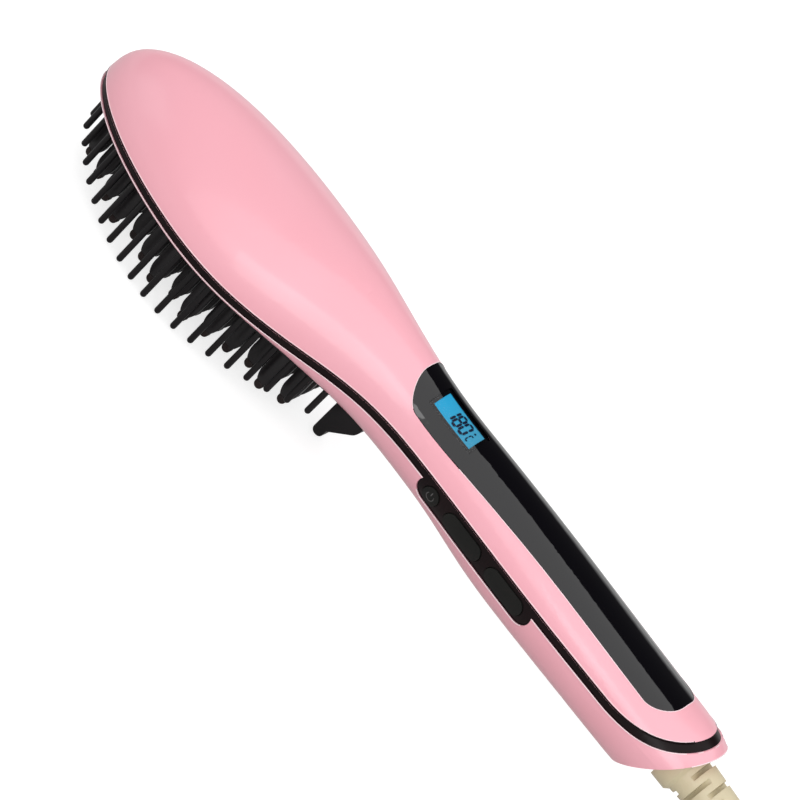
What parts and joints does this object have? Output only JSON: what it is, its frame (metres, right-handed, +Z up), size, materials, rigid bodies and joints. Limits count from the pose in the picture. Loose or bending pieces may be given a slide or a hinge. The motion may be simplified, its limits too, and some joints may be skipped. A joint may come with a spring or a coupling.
{
  "type": "hair straightening brush",
  "caption": "Heated comb brush with a pink shell, black trim, display window, push buttons and a cream swivel cord in a tied hank.",
  "frame": {"origin": "centre of the brush's own box on the surface it stands on, without the strain relief, cord and plug", "axes": "+X along the brush towards the cord, -Y on the button side, +Z up through the back cover"},
  "size_m": [0.5206, 0.08, 0.049],
  "materials": {
    "pink_shell": "gloss",
    "window_gloss": "gloss",
    "black_trim": "satin",
    "button_black": "satin",
    "comb_black": "satin",
    "coated_teeth": "satin",
    "cap_brown": "matte",
    "aluminium_plate": "satin",
    "element_ceramic": "matte",
    "steel": "satin",
    "mica": "matte",
    "board_green": "satin",
    "white_plastic": "satin",
    "display_blue": "gloss",
    "component_black": "matte",
    "wire_red": "satin",
    "cord_cream": "satin",
    "plug_cream": "satin",
    "tie_black": "matte",
    "pin_brass": "satin"
  },
  "bodies": {
    "housing": {"back_cover": "pink_shell", "front_frame": "pink_shell", "display_window": "window_gloss", "trim_band": "black_trim", "comb_frame": "comb_black", "comb_pins": "comb_black", "heated_teeth": "coated_teeth", "tooth_caps": "cap_brown", "guard_foot": "comb_black", "heater_plate": "aluminium_plate", "heating_element": "element_ceramic", "heater_clamps": "steel", "insulation_sheet": "mica", "thermistor": "element_ceramic", "thermal_fuse": "steel", "heater_screws": "steel", "head_screws": "steel", "handle_screws": "steel", "board_screws": "steel", "control_board": "board_green", "display_holder": "white_plastic", "display_module": "display_blue", "board_components": "component_black", "key_board": "board_green", "tact_switches": "component_black", "swivel_collar": "white_plastic", "contact_block": "white_plastic", "supply_wires": "wire_red", "heater_wires": "wire_red", "cord_lead": "cord_cream", "cord_hank": "cord_cream", "plug_lead": "cord_cream", "hank_tie": "tie_black", "plug_body": "plug_cream", "plug_pins": "pin_brass"},
    "power_button": {"power_button": "button_black"},
    "temperature_down_button": {"temperature_down_button": "button_black"},
    "temperature_up_button": {"temperature_up_button": "button_black"},
    "swivel": {"swivel_core": "cord_cream", "strain_relief": "cord_cream"}
  },
  "joints": [
    {"name": "power_push", "type": "slide", "parent": "housing", "child": "power_button", "axis": [0, 1, 0], "range_m": [0, 0.0005], "stiffness_N_per_m": 300},
    {"name": "temperature_down_push", "type": "slide", "parent": "housing", "child": "temperature_down_button", "axis": [0, 1, 0], "range_m": [0, 0.0005], "stiffness_N_per_m": 300},
    {"name": "temperature_up_push", "type": "slide", "parent": "housing", "child": "temperature_up_button", "axis": [0, 1, 0], "range_m": [0, 0.0005], "stiffness_N_per_m": 300},
    {"name": "cord_swivel", "type": "hinge", "parent": "housing", "child": "swivel", "pos_m": [0.1235, 0, 0.0265], "axis": [1, 0, 0], "continuous": true}
  ]
}
